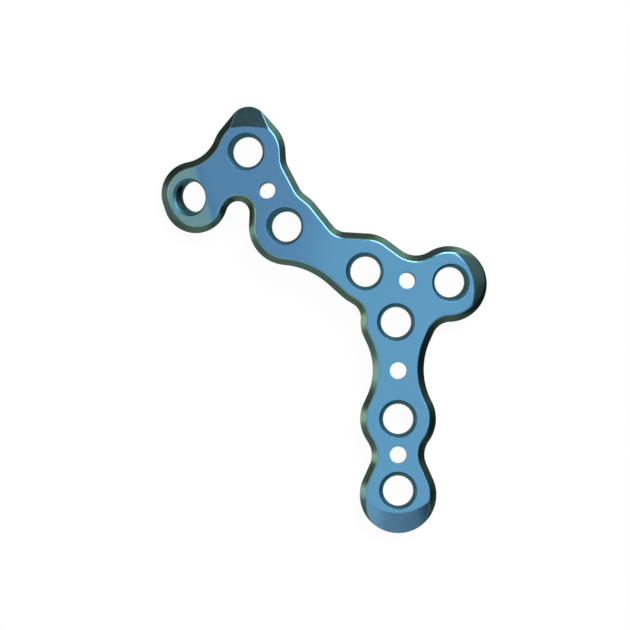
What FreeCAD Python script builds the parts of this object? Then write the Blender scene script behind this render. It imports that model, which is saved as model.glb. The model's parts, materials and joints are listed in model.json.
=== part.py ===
import FreeCAD, Part
import math
import os

import Sketcher

# Orthopedic bone plate, one piece of titanium, in millimetres and degrees.
# It is drawn with its straight leg flat and pointing to -Y, seen from the side that faces away from the bone.
# The axis of the leg's end hole is the origin of the drawing, at the height of the leg's upper face.

SIZES = [
    # The plate and its edges
    ("thickness", 1.9, "square to the surface, the same everywhere"),
    ("bevel", 0.76, "bevel round the upper edge, level and down"),
    ("top_break", 0.1, "small second bevel that softens the edge of the upper face"),
    ("under_break", 0.25, "bevel of the edge on the bone side"),
    # Screw holes: a cylinder at the bone, a tapered seat above it and a small bevel at the mouth
    ("bore_radius", 1.8, "cylinder that a 3.5 mm screw passes"),
    ("bore_length", 0.7, "length of that cylinder"),
    ("seat_radius", 2.0, "top of the tapered seat"),
    ("mouth_radius", 2.28, "rim at the upper face"),
    ("wire_radius", 1.0, "plain hole for a guide wire"),
    # Places of the screw holes, where their axes leave the bone side, each from the hole next to it
    ("middle_y", 8.6, "second hole of the leg, from the end hole"),
    ("neck_x", -0.25, "hole at the top of the leg, from the second"),
    ("neck_y", 11.6, ""),
    ("bridge_x", -3.65, "hole of the bridge between leg and head, from the neck"),
    ("bridge_y", 6.05, ""),
    ("wing_x", 6.35, "hole of the short wing, from the neck"),
    ("wing_y", 4.8, ""),
    ("shoulder_x", -9.4, "lower hole of the head, from the bridge"),
    ("shoulder_y", 5.4, ""),
    ("upper_x", -4.65, "upper hole of the head, from the lower"),
    ("upper_y", 8.95, ""),
    ("tab_x", -6.25, "hole of the bent tab, from the upper hole of the head"),
    ("tab_y", -5.3, ""),
    # Places of the wire holes, at half the thickness, and how far each leans from upright
    ("end_wire_y", 4.3, "in the leg, from the end hole"),
    ("neck_wire_y", 5.8, "in the leg's waist, from the second hole"),
    ("wing_wire_x", 1.3, "beside the wing, from the neck"),
    ("wing_wire_y", 4.95, ""),
    ("wing_wire_angle", 5.5, "its lean"),
    ("wing_wire_heading", 45.0, ""),
    ("head_wire_x", -2.35, "in the head, from its lower hole"),
    ("head_wire_y", 4.3, ""),
    ("head_wire_angle", 8.0, "its lean"),
    ("head_wire_heading", 135.0, ""),
    # Lobes: radii of the outline round the holes, and centres that differ from the hole's
    ("end_lobe", 4.6, "round end of the leg"),
    ("end_reach", 0.5, "its centre lies this far below the end hole"),
    ("middle_lobe", 4.55, ""),
    ("neck_lobe", 4.25, ""),
    ("bridge_inner_lobe", 4.1, "side towards the inner curve"),
    ("bridge_outer_lobe", 4.6, "side towards the outer curve"),
    ("shoulder_inner_lobe", 4.6, ""),
    ("shoulder_outer_lobe", 4.35, ""),
    ("upper_left_lobe", 4.35, ""),
    ("upper_right_lobe", 4.45, ""),
    ("nose_lobe", 2.35, "narrow tip above the upper hole"),
    ("nose_reach", 3.15, "its centre lies this far above the upper hole"),
    ("wing_lobe", 4.55, ""),
    ("wing_drop", 0.22, "its centre lies this far below the wing's hole"),
    ("tab_lobe", 3.85, "both round corners of the tab"),
    ("tab_high_left", 0.4, "upper corner's centre, from the tab's hole"),
    ("tab_high_up", 0.35, ""),
    ("tab_low_left", 0.1, "lower corner's centre, from the tab's hole"),
    ("tab_low_down", 0.55, ""),
    # Hollows between the lobes: radius, and the straight flanks beside it where it has any
    ("tab_hollow", 4.45, "between the upper lobe and the tab"),
    ("notch_hollow", 1.4, "round notch between the tab and the shoulder"),
    ("notch_tab_heading", 70.0, "direction of its flank at the tab"),
    ("notch_shoulder_heading", -92.5, "direction of its flank at the shoulder"),
    ("inner_hollow", 9.1, "long inner curve below the head"),
    ("inner_flank", 2.4, ""),
    ("crook_hollow", 1.85, "inner corner at the top of the leg"),
    ("crook_flank", 0.8, ""),
    ("waist_left_hollow", 7.45, "left side of the leg's waist"),
    ("waist_left_upper_flank", 0.8, ""),
    ("waist_left_lower_flank", 1.0, ""),
    ("ankle_left_hollow", 2.8, "left side between the two lower holes"),
    ("ankle_left_upper_flank", 0.6, ""),
    ("ankle_left_lower_flank", 1.9, ""),
    ("ankle_right_hollow", 2.7, "right side between the two lower holes"),
    ("ankle_right_lower_flank", 2.05, ""),
    ("ankle_right_upper_flank", 0.4, ""),
    ("waist_right_hollow", 8.25, "right side of the leg's waist"),
    ("armpit_flank", 1.1, "straight run from the waist to the hollow under the wing"),
    ("armpit_heading", 66.0, "its direction"),
    ("armpit_hollow", 2.25, "under the wing"),
    ("wing_hollow", 2.95, "above the wing"),
    ("wing_flank", 1.95, ""),
    ("outer_hollow", 2.0, "above the bridge"),
    ("outer_lower_flank", 2.75, ""),
    ("outer_upper_flank", 3.35, ""),
    ("head_lower_hollow", 2.65, "outer side of the head, beside the shoulder"),
    ("head_lower_flank", 0.7, ""),
    ("head_flank", 2.85, "straight run between the two hollows of the head"),
    ("head_heading", 117.5, "its direction"),
    ("head_upper_hollow", 2.2, "outer side of the head, beside the upper hole"),
    ("head_upper_flank", 1.1, ""),
    # Bends: the plate falls away past a line, eased in over a length, towards a heading
    ("body_bend_angle", 9.8, "the head falls away from the leg and bridge"),
    ("body_bend_heading", 163.0, ""),
    ("body_bend_start", 4.0, "from the end hole"),
    ("body_bend_length", 19.0, ""),
    ("tab_bend_angle", 19.3, "the tab falls away from the head"),
    ("tab_bend_heading", 198.5, ""),
    ("tab_bend_start", 2.25, "before the tab's hole"),
    ("tab_bend_length", 2.4, ""),
    ("wing_bend_angle", 7.4, "the wing falls away from the bridge"),
    ("wing_bend_heading", -15.0, ""),
    ("wing_bend_start", 4.85, "before the wing's hole"),
    ("wing_bend_length", 4.5, ""),
    ("wing_fade_start", 15.0, "the wing's bend fades in above this height on the leg"),
    ("wing_fade_length", 6.0, ""),
    # Ramps: the ends thin out past a round line beside their hole
    ("ramp_land", 0.38, "from a hole's mouth to its ramp"),
    ("nose_ramp_land", 0.7, "the same at the nose"),
    ("ramp_angle", 20.0, "how steep a ramp is"),
    ("ramp_radius", 5.4, "of the line where a ramp starts"),
    ("nose_ramp_radius", 12.2, "the same at the nose"),
    ("end_ramp_heading", -90.0, ""),
    ("wing_ramp_heading", 20.0, ""),
    ("tab_ramp_heading", 206.0, ""),
    ("nose_ramp_heading", 90.0, ""),
    # How the plate lies when it is put down: on the tab, the wing and the end of the leg
    ("rest_angle", 7.46, "turn from the drawing's frame"),
    ("rest_heading", 151.0, "side of the drawing that comes up"),
]

# The hole that each hole's place is measured from
NEXT_TO = {
    "middle": "end",
    "neck": "middle",
    "bridge": "neck",
    "wing": "neck",
    "shoulder": "bridge",
    "upper": "shoulder",
    "tab": "upper",
    "end_wire": "end",
    "neck_wire": "middle",
    "wing_wire": "neck",
    "head_wire": "shoulder",
}

SKIN_MARGIN = 2.5
SKIN_STEP = 1.2
CLEAR = 2.0
MEASURING = 0.005

doc = FreeCAD.newDocument("bone_plate")
sheet = doc.addObject("Spreadsheet::Sheet", "sizes")
for row, (alias, value, note) in enumerate(SIZES, start=1):
    sheet.set("A%d" % row, alias)
    sheet.set("B%d" % row, str(value))
    sheet.setAlias("B%d" % row, alias)
    sheet.set("C%d" % row, note)
doc.recompute()


def size(alias):
    """The value of a named cell."""
    return float(getattr(sheet, alias))


def total(names):
    """The sum of sheet values, where a leading minus takes a value off."""
    return sum(-size(name[1:]) if name.startswith("-") else size(name) for name in names)


def expression(names):
    """The same sum as text for a constraint."""
    terms = ["-sizes." + name[1:] if name.startswith("-") else "+sizes." + name for name in names]
    return "".join(terms).lstrip("+")


def turned(angle, length=1.0):
    """A level vector of the given length and heading."""
    radians = math.radians(angle)
    return FreeCAD.Vector(length * math.cos(radians), length * math.sin(radians), 0)


def chain(hole, axis):
    """The sheet names that add up to a hole's place along one axis, from the end hole through its neighbours."""
    names = []
    while hole != "end":
        if any(alias == hole + axis for alias, value, note in SIZES):
            names.insert(0, hole + axis)
        hole = NEXT_TO[hole]
    return names


def place(hole):
    """A hole's place in the drawing."""
    return FreeCAD.Vector(total(chain(hole, "_x")), total(chain(hole, "_y")), 0)


# Outline

def offset_centre(first, second, first_gap, second_gap):
    """The point at two given distances from two points, on the right of the way from first to second."""
    way = second - first
    span = way.Length
    along = (first_gap ** 2 - second_gap ** 2 + span ** 2) / (2 * span)
    aside = math.sqrt(first_gap ** 2 - along ** 2)
    right = FreeCAD.Vector(way.y, -way.x, 0) / span
    return first + way * (along / span) + right * aside


def lobe(name, radius, hole, x=None, y=None):
    """A round stretch with metal inside. Its centre is a hole's place, moved by a signed sheet name along X or Y."""
    return {"name": name, "radius": radius, "side": 1,
            "x": chain(hole, "_x") + ([x] if x else []), "y": chain(hole, "_y") + ([y] if y else [])}


def hollow(name, before=None, after=None, to_next=None, heading=None, arrive=None, depart=None):
    """A round stretch with metal outside, with the sheet names of its flanks' lengths or headings."""
    return {"name": name, "radius": name, "side": -1, "before": before, "after": after,
            "to_next": to_next, "heading": heading, "arrive": arrive, "depart": depart}


OUTLINE = [
    lobe("nose", "nose_lobe", "upper", y="nose_reach"),
    lobe("upper_left", "upper_left_lobe", "upper"),
    hollow("tab_hollow"),
    lobe("tab_high", "tab_lobe", "tab", x="-tab_high_left", y="tab_high_up"),
    lobe("tab_low", "tab_lobe", "tab", x="-tab_low_left", y="-tab_low_down"),
    hollow("notch_hollow", arrive="notch_tab_heading", depart="notch_shoulder_heading"),
    lobe("shoulder_inner", "shoulder_inner_lobe", "shoulder"),
    hollow("inner_hollow", after="inner_flank"),
    lobe("bridge_inner", "bridge_inner_lobe", "bridge"),
    hollow("crook_hollow", before="crook_flank"),
    lobe("neck", "neck_lobe", "neck"),
    hollow("waist_left_hollow", before="waist_left_upper_flank", after="waist_left_lower_flank"),
    lobe("middle_left", "middle_lobe", "middle"),
    hollow("ankle_left_hollow", before="ankle_left_upper_flank", after="ankle_left_lower_flank"),
    lobe("end", "end_lobe", "end", y="-end_reach"),
    hollow("ankle_right_hollow", before="ankle_right_lower_flank", after="ankle_right_upper_flank"),
    lobe("middle_right", "middle_lobe", "middle"),
    hollow("waist_right_hollow", to_next="armpit_flank", heading="armpit_heading"),
    hollow("armpit_hollow"),
    lobe("wing", "wing_lobe", "wing", y="-wing_drop"),
    hollow("wing_hollow", after="wing_flank"),
    lobe("bridge_outer", "bridge_outer_lobe", "bridge"),
    hollow("outer_hollow", before="outer_lower_flank", after="outer_upper_flank"),
    lobe("shoulder_outer", "shoulder_outer_lobe", "shoulder"),
    hollow("head_lower_hollow", before="head_lower_flank", to_next="head_flank", heading="head_heading"),
    hollow("head_upper_hollow", after="head_upper_flank"),
    lobe("upper_right", "upper_right_lobe", "upper"),
]


def reach(turn, other, flank):
    """Distance between the centres of two round stretches of opposite sides, with a straight flank between."""
    return math.hypot(size(turn["radius"]) + size(other["radius"]), size(flank) if flank else 0.0)


def place_hollow(turns, index):
    """Centre of one hollow between two lobes."""
    turn = turns[index]
    before = turns[index - 1]
    after = turns[(index + 1) % len(turns)]
    turn["centre"] = offset_centre(before["centre"], after["centre"],
                                   reach(turn, before, turn["before"]), reach(turn, after, turn["after"]))


def place_notch(turns, index):
    """Centre of a hollow between two flanks of known heading."""
    turn = turns[index]
    before = turns[index - 1]
    after = turns[(index + 1) % len(turns)]
    first = turned(size(turn["arrive"]) - 90)
    second = turned(size(turn["depart"]) - 90)
    first_level = before["centre"].dot(first) + size(before["radius"]) + size(turn["radius"])
    second_level = after["centre"].dot(second) + size(after["radius"]) + size(turn["radius"])
    area = first.x * second.y - first.y * second.x
    turn["centre"] = FreeCAD.Vector((first_level * second.y - second_level * first.y) / area,
                                    (second_level * first.x - first_level * second.x) / area, 0)


def place_pair(turns, index):
    """Centres of two hollows in a row, joined by a straight run of known length and heading."""
    first = turns[index]
    second = turns[index + 1]
    before = turns[index - 1]
    after = turns[(index + 2) % len(turns)]
    step = turned(size(first["heading"]), size(first["to_next"]))
    step += turned(size(first["heading"]) - 90, size(second["radius"]) - size(first["radius"]))
    first["centre"] = offset_centre(before["centre"], after["centre"] - step,
                                    reach(first, before, first["before"]), reach(second, after, second["after"]))
    second["centre"] = first["centre"] + step


def heading_between(turn, other):
    """Heading in degrees of the straight line that touches two round stretches."""
    way = other["centre"] - turn["centre"]
    shift = other["side"] * size(other["radius"]) - turn["side"] * size(turn["radius"])
    straight = math.sqrt(max(way.Length ** 2 - shift ** 2, 0.0))
    return math.degrees(math.atan2(way.y, way.x) - math.atan2(shift, straight))


def touch(turn, heading):
    """The point where a round stretch has the given heading."""
    return turn["centre"] + turned(heading - 90, turn["side"] * size(turn["radius"]))


def place_outline(turns):
    """Works out every centre and the headings at which the outline enters and leaves each round stretch."""
    for turn in turns:
        if turn["side"] > 0:
            turn["centre"] = FreeCAD.Vector(total(turn["x"]), total(turn["y"]), 0)
    for index, turn in enumerate(turns):
        if turn["side"] > 0 or "centre" in turn:
            continue
        if turn["to_next"]:
            place_pair(turns, index)
        elif turn["arrive"]:
            place_notch(turns, index)
        else:
            place_hollow(turns, index)
    for index, turn in enumerate(turns):
        other = turns[(index + 1) % len(turns)]
        turn["leaves"] = heading_between(turn, other)
        other["enters"] = turn["leaves"]


def has_flank(turn, other):
    """Whether a straight line lies between two round stretches."""
    names = ("after", "depart") if turn["side"] < 0 else ("before", "arrive")
    owner = turn if turn["side"] < 0 else other
    return turn["side"] == other["side"] or any(owner[name] for name in names)


def add_arc(sketch, turn):
    """Adds the arc of a round stretch. A lobe runs from its start to its end, a hollow the other way."""
    circle = Part.Circle(turn["centre"], FreeCAD.Vector(0, 0, 1), size(turn["radius"]))
    first, last = turn["enters"] - 90, turn["leaves"] - 90
    if turn["side"] < 0:
        first, last = last + 180, first + 180
    while last < first:
        last += 360
    turn["arc"] = sketch.addGeometry(Part.ArcOfCircle(circle, math.radians(first), math.radians(last)), False)
    turn["entry"], turn["exit"] = (1, 2) if turn["side"] > 0 else (2, 1)


def bind(sketch, constraint, name, text):
    """Adds a constraint and ties it to the sheet."""
    index = sketch.addConstraint(constraint)
    sketch.renameConstraint(index, name)
    if text:
        sketch.setExpression("Constraints." + name, text)


def build_outline():
    """The outline as a sketch of tangent arcs and flanks, bound to the sheet."""
    turns = OUTLINE
    place_outline(turns)
    sketch = doc.addObject("Sketcher::SketchObject", "outline")
    for turn in turns:
        add_arc(sketch, turn)
    for turn in turns:
        centre = turn["centre"]
        name = turn["name"]
        bind(sketch, Sketcher.Constraint("Radius", turn["arc"], size(turn["radius"])),
             name + "_radius", "sizes." + turn["radius"])
        if turn["side"] > 0:
            bind(sketch, Sketcher.Constraint("DistanceX", -1, 1, turn["arc"], 3, centre.x),
                 name + "_x", expression(turn["x"]))
            bind(sketch, Sketcher.Constraint("DistanceY", -1, 1, turn["arc"], 3, centre.y),
                 name + "_y", expression(turn["y"]))
    for index, turn in enumerate(turns):
        other = turns[(index + 1) % len(turns)]
        if not has_flank(turn, other):
            sketch.addConstraint(Sketcher.Constraint("Tangent", turn["arc"], turn["exit"], other["arc"], other["entry"]))
            continue
        segment = Part.LineSegment(touch(turn, turn["leaves"]), touch(other, turn["leaves"]))
        line = sketch.addGeometry(segment, False)
        sketch.addConstraint(Sketcher.Constraint("Tangent", turn["arc"], turn["exit"], line, 1))
        sketch.addConstraint(Sketcher.Constraint("Tangent", line, 2, other["arc"], other["entry"]))
        length = turn.get("to_next") or turn.get("after") or other.get("before")
        if length:
            bind(sketch, Sketcher.Constraint("Distance", line, size(length)), length + "_length", "sizes." + length)
        heading = turn.get("heading") or turn.get("depart") or other.get("arrive")
        if heading:
            bind(sketch, Sketcher.Constraint("Angle", line, math.radians(size(heading))),
                 heading + "_angle", "sizes." + heading)
    return sketch


# Contour

def eased(distance, length, slope):
    """Fall and slope at a distance past a bend's start line. The slope grows as 3t^2 - 2t^3 over the length."""
    if distance <= 0:
        return 0.0, 0.0
    part = distance / length
    if part >= 1:
        return slope * (distance - length / 2), slope
    return slope * length * (part ** 3 - part ** 4 / 2), slope * (3 * part ** 2 - 2 * part ** 3)


def bends():
    """The three bends, each as a point on its start line, a heading, a slope and a length."""
    found = {}
    for name, near in (("body", place("end")), ("tab", place("tab")), ("wing", place("wing"))):
        way = turned(size(name + "_bend_heading"))
        start = size(name + "_bend_start") if name == "body" else -size(name + "_bend_start")
        slope = math.tan(math.radians(size(name + "_bend_angle")))
        found[name] = (near + way * start, way, slope, size(name + "_bend_length"))
    return found


BENDS = bends()


def upper_face(x, y):
    """Height of the upper face, and its slope as a level vector that points downhill."""
    height = 0.0
    downhill = FreeCAD.Vector(0, 0, 0)
    fade, growth = eased(y - size("wing_fade_start"), size("wing_fade_length"), 1.0)
    for name, (start, way, slope, length) in BENDS.items():
        fall, local = eased((x - start.x) * way.x + (y - start.y) * way.y, length, slope)
        share = growth if name == "wing" else 1.0
        height -= share * fall
        downhill += way * (share * local)
    return height, downhill


def normal_at(x, y):
    """Unit vector square to the plate."""
    downhill = upper_face(x, y)[1]
    return FreeCAD.Vector(downhill.x, downhill.y, 1).normalize()


def skin_point(x, y, depth):
    """A point of the upper face, or of the surface that lies a depth below it, square to the face."""
    height, downhill = upper_face(x, y)
    return FreeCAD.Vector(x, y, height - depth * math.sqrt(1 + downhill.Length ** 2))


def build_skin(box, depth):
    """A smooth surface through a grid of such points."""
    columns = int((box.XMax - box.XMin + 2 * SKIN_MARGIN) / SKIN_STEP) + 2
    rows = int((box.YMax - box.YMin + 2 * SKIN_MARGIN) / SKIN_STEP) + 2
    grid = []
    for column in range(columns):
        x = box.XMin - SKIN_MARGIN + column * SKIN_STEP
        grid.append([skin_point(x, box.YMin - SKIN_MARGIN + row * SKIN_STEP, depth) for row in range(rows)])
    surface = Part.BSplineSurface()
    surface.interpolate(grid)
    return surface.toShape()


def build_slab(box):
    """The contoured sheet that the plate is cut from, as a solid between two skins."""
    upper = build_skin(box, 0.0)
    under = build_skin(box, size("thickness"))
    faces = [upper.Faces[0], under.Faces[0]]
    for edge in upper.Edges:
        middle = edge.CenterOfMass
        partner = min(under.Edges, key=lambda other: (other.CenterOfMass - middle).Length)
        faces += Part.makeRuledSurface(edge, partner).Faces
    shell = Part.makeShell(faces)
    shell.sewShape()
    slab = doc.addObject("Part::Feature", "slab")
    slab.Shape = Part.makeSolid(shell)
    return slab


def build_blank(sketch, slab):
    """The contoured sheet cut to the outline, straight down."""
    box = slab.Shape.BoundBox
    prism = doc.addObject("Part::Extrusion", "prism")
    prism.Base = sketch
    prism.DirMode = "Custom"
    prism.Dir = FreeCAD.Vector(0, 0, 1)
    prism.LengthFwd = box.ZMax + CLEAR
    prism.LengthRev = CLEAR - box.ZMin
    prism.Solid = True
    blank = doc.addObject("Part::MultiCommon", "blank")
    blank.Shapes = [prism, slab]
    doc.recompute()
    return blank


# Edges

def skins_of(shape):
    """The upper and under faces of the plate, which are its two largest."""
    largest = sorted(shape.Faces, key=lambda face: face.Area)[-2:]
    return sorted(largest, key=lambda face: -face.CenterOfMass.z)


def edge_numbers(shape, edges):
    """Numbers of some edges in a shape, as its edge features name them."""
    return [number for number, edge in enumerate(shape.Edges, start=1)
            if any(edge.isSame(other) for other in edges)]


def bevel_edges(name, base, edges, width):
    """Bevels some edges of an object."""
    bevel = doc.addObject("Part::Chamfer", name)
    bevel.Base = base
    bevel.Edges = [(number, width, width) for number in edge_numbers(base.Shape, edges)]
    doc.recompute()
    return bevel


def build_edges(blank):
    """Bevels the edge on the bone side and the upper edge, then breaks the edge of the upper face."""
    under = bevel_edges("under_bevelled", blank, skins_of(blank.Shape)[1].Edges, size("under_break"))
    upper = bevel_edges("upper_bevelled", under, skins_of(under.Shape)[0].Edges, size("bevel"))
    return bevel_edges("edge_broken", upper, skins_of(upper.Shape)[0].Edges, size("top_break"))


# Holes and ramps

def frame_at(point, normal, heading=0.0):
    """A placement at a point with its Z along a normal and its X towards a heading."""
    along = turned(heading)
    along = (along - normal * along.dot(normal)).normalize()
    return FreeCAD.Placement(point, FreeCAD.Rotation(along, FreeCAD.Vector(), normal, "ZXY"))


def shifted(placement, distance):
    """The same placement, moved along its own Z."""
    return placement.multiply(FreeCAD.Placement(FreeCAD.Vector(0, 0, distance), FreeCAD.Rotation()))


def screw_cutter(name, spot):
    """Cylinder, tapered seat and mouth of one screw hole, square to the plate where it leaves the bone side."""
    normal = normal_at(spot.x, spot.y)
    foot = frame_at(skin_point(spot.x, spot.y, size("thickness")), normal)
    mouth_depth = size("mouth_radius") - size("seat_radius")
    bore = doc.addObject("Part::Cylinder", name + "_bore")
    bore.setExpression("Radius", "sizes.bore_radius")
    bore.Height = size("bore_length") + CLEAR
    bore.Placement = shifted(foot, -CLEAR)
    seat = doc.addObject("Part::Cone", name + "_seat")
    seat.setExpression("Radius1", "sizes.bore_radius")
    seat.setExpression("Radius2", "sizes.seat_radius")
    seat.setExpression("Height", "sizes.thickness - sizes.bore_length - sizes.mouth_radius + sizes.seat_radius")
    seat.Placement = shifted(foot, size("bore_length"))
    mouth = doc.addObject("Part::Cone", name + "_mouth")
    mouth.setExpression("Radius1", "sizes.seat_radius")
    mouth.setExpression("Radius2", "2 * sizes.mouth_radius - sizes.seat_radius")
    mouth.setExpression("Height", "2 * (sizes.mouth_radius - sizes.seat_radius)")
    mouth.Placement = shifted(foot, size("thickness") - mouth_depth)
    return [bore, seat, mouth]


def wire_cutter(name, spot, lean, heading):
    """One wire hole. Its place is at half the thickness."""
    normal = turned(heading, math.sin(math.radians(lean))) + FreeCAD.Vector(0, 0, math.cos(math.radians(lean)))
    middle = frame_at(skin_point(spot.x, spot.y, size("thickness") / 2), normal)
    wire = doc.addObject("Part::Cylinder", name)
    wire.setExpression("Radius", "sizes.wire_radius")
    wire.Height = size("thickness") + 2 * CLEAR
    wire.Placement = shifted(middle, -size("thickness") / 2 - CLEAR)
    return wire


def ramp_cutter(name, spot, heading, land, radius):
    """What a ramp takes off an end: everything outside a cone that meets the upper face in a round line."""
    normal = normal_at(spot.x, spot.y)
    slope = math.tan(math.radians(size("ramp_angle")))
    hole = frame_at(skin_point(spot.x, spot.y, size("thickness")), normal, heading)
    reach_out = size("mouth_radius") + size(land)
    centre = hole.multiply(FreeCAD.Placement(FreeCAD.Vector(reach_out - size(radius), 0, size("thickness")),
                                             FreeCAD.Rotation()))
    height = min(CLEAR, 0.8 * size(radius) * slope)
    depth = size("thickness")
    keep = doc.addObject("Part::Cone", name + "_cone")
    keep.Radius1 = size(radius) + depth / slope
    keep.Radius2 = size(radius) - height / slope
    keep.Height = depth + height
    keep.Placement = shifted(centre, -depth)
    sector = doc.addObject("Part::Cylinder", name + "_sector")
    sector.Radius = keep.Radius1.Value
    sector.Height = keep.Height.Value
    sector.Angle = 120
    sector.Placement = shifted(centre, -depth).multiply(
        FreeCAD.Placement(FreeCAD.Vector(), FreeCAD.Rotation(FreeCAD.Vector(0, 0, 1), -60)))
    cutter = doc.addObject("Part::Cut", name)
    cutter.Base = sector
    cutter.Tool = keep
    return cutter


def build_plate(bevelled):
    """Cuts the ramps and holes into the plate."""
    cutters = []
    for name in ("end", "middle", "neck", "bridge", "wing", "shoulder", "upper", "tab"):
        cutters += screw_cutter(name, place(name))
    cutters.append(wire_cutter("end_wire", place("end_wire"), 0.0, 0.0))
    cutters.append(wire_cutter("neck_wire", place("neck_wire"), 0.0, 0.0))
    for name in ("wing_wire", "head_wire"):
        cutters.append(wire_cutter(name, place(name), size(name + "_angle"), size(name + "_heading")))
    for name, hole, land, radius in (("end_ramp", "end", "ramp_land", "ramp_radius"),
                                     ("wing_ramp", "wing", "ramp_land", "ramp_radius"),
                                     ("tab_ramp", "tab", "ramp_land", "ramp_radius"),
                                     ("nose_ramp", "upper", "nose_ramp_land", "nose_ramp_radius")):
        cutters.append(ramp_cutter(name, place(hole), size(name + "_heading"), land, radius))
    tools = doc.addObject("Part::MultiFuse", "cutters")
    tools.Shapes = cutters
    plate = doc.addObject("Part::Cut", "plate")
    plate.Base = bevelled
    plate.Tool = tools
    doc.recompute()
    return plate


def measured(shape):
    """The box round a shape, from points all over its surface."""
    box = FreeCAD.BoundBox()
    for point in shape.tessellate(MEASURING)[0]:
        box.add(point)
    return box


def lay_down(plate):
    """Turns the plate as it lies on a table, with the table at Z = 0 and its footprint round the origin."""
    axis = turned(size("rest_heading") - 90)
    turn = FreeCAD.Placement(FreeCAD.Vector(), FreeCAD.Rotation(axis, size("rest_angle")))
    plate.Placement = turn
    doc.recompute()
    box = measured(plate.Shape)
    centre = FreeCAD.Vector((box.XMin + box.XMax) / 2, (box.YMin + box.YMax) / 2, box.ZMin)
    plate.Placement = FreeCAD.Placement(-centre, FreeCAD.Rotation()).multiply(turn)
    doc.recompute()


outline = build_outline()
doc.recompute()
slab = build_slab(outline.Shape.BoundBox)
blank = build_blank(outline, slab)
bevelled = build_edges(blank)
plate = build_plate(bevelled)
plate.Label = "plate"
lay_down(plate)

for item in doc.Objects:
    if "Invalid" in item.State or "Error" in item.State:
        raise RuntimeError("%s did not build: %s" % (item.Name, item.State))
    if hasattr(item, "Shape") and (item.Shape.isNull() or not item.Shape.isValid()):
        raise RuntimeError("%s has no valid shape" % item.Name)
if len(plate.Shape.Solids) != 1:
    raise RuntimeError("the plate is not one solid")

os.makedirs("parts", exist_ok=True)
plate.Shape.exportStep(os.path.join("parts", plate.Label + ".step"))
box = measured(plate.Shape)
print("plate: %.2f x %.2f x %.2f mm, %.1f mm3, %d faces" % (
    box.XLength, box.YLength, box.ZLength, plate.Shape.Volume, len(plate.Shape.Faces)))
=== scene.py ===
# %% [markdown]
# # A blue bone plate
#
# This plate holds the pieces of a broken bone together. It is one flat bar of titanium, milled to a
# chain of round lobes with a screw hole in each, bent to follow the bone and then anodised, which
# colours it blue.
#
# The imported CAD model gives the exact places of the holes. The visible plate is worked out again
# here from the same lobes and bends, because that gives it finely rounded edges and an even skin
# that reflects light cleanly.

# %% Start
import json
import math

import bpy
import numpy as np
from mathutils import Matrix, Vector
from mathutils.geometry import delaunay_2d_cdt


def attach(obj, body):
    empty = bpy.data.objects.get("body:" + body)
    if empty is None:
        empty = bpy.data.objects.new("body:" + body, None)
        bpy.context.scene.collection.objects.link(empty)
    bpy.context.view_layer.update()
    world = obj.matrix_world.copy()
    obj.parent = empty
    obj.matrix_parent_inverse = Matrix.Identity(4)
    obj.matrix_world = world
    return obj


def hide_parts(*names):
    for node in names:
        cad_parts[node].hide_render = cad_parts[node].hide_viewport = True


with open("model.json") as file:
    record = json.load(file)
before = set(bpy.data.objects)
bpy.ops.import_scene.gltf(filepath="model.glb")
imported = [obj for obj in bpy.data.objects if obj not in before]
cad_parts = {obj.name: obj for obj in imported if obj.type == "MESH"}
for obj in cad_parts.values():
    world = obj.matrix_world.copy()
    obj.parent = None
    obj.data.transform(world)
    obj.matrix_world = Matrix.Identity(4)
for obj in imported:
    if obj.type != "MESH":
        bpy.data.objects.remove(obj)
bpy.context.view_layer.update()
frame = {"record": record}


# %% [markdown]
# ## The drawing and the part
#
# The plate lies tipped on a table, but it is easier to describe as it is drawn: with its straight
# leg flat and the end hole at the origin. Two holes of the leg fix that drawing in the part's frame.
# Their axes point along the drawing's Z, and the way from one to the other is its Y. All sizes below
# are in millimetres.

# %% The drawing's frame, from the holes of the leg
THICKNESS = 1.9

mounts = {mount["name"]: mount for mount in frame["record"]["mounts"]}


def mount_place(name):
    """A hole's place in millimetres, halfway down its wall, its axis, its radius and its length."""
    mount = mounts[name]
    sizes = mount["dims"]
    return np.array(mount["pos_m"]) * 1000, np.array(mount["axis"]), sizes["r_mm"], sizes["length_mm"]


def of_length_one(vector):
    """The vector divided by its length."""
    return vector / np.linalg.norm(vector)


end_place, end_axis, BORE_RADIUS, BORE_LENGTH = mount_place("screw_hole_end")
middle_place = mount_place("screw_hole_middle")[0]
drawing_z = of_length_one(end_axis)
drawing_x = of_length_one(np.cross(middle_place - end_place, drawing_z))
drawing_axes = np.column_stack([drawing_x, np.cross(drawing_z, drawing_x), drawing_z])
drawing_origin = end_place + drawing_z * (THICKNESS - BORE_LENGTH / 2)


def to_drawing(points):
    """Points of the part, in millimetres, as the drawing has them."""
    return (points - drawing_origin) @ drawing_axes


def to_part(points):
    """Points of the drawing, in millimetres, as metres in the part's frame."""
    return (points @ drawing_axes.T + drawing_origin) / 1000


def drawn_hole(name):
    """A hole in the drawing: its axis, the point where that leaves the bone side, and its radius."""
    place, axis, radius, length = mount_place(name)
    axis = axis @ drawing_axes
    return {"foot": to_drawing(place) - axis * (length / 2), "axis": axis, "radius": radius}


def drawn_holes(prefix):
    """All the holes whose names start alike, each under the rest of its name."""
    return {name.removeprefix(prefix): drawn_hole(name) for name in mounts if name.startswith(prefix)}


screw_holes = drawn_holes("screw_hole_")
wire_holes = drawn_holes("wire_hole_")
print(len(screw_holes), "screw holes and", len(wire_holes), "wire holes")

# %% [markdown]
# ## The outline
#
# A designer lays out such a plate as a round lobe about each hole, joined by hollow arcs that touch
# the lobes. Points in the drawing's plane are complex numbers here, because turning one is then a
# multiplication. A hollow's centre lies at known distances from its two neighbours, so it is where
# two circles meet.

# %% Lobes and hollows
def plan(name):
    """Where a screw hole's axis leaves the bone side, seen from above, as a complex number."""
    x, y, _ = screw_holes[name]["foot"]
    return complex(x, y)


def unit(degrees):
    """A step of one millimetre with a heading."""
    return np.exp(1j * math.radians(degrees))


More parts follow.
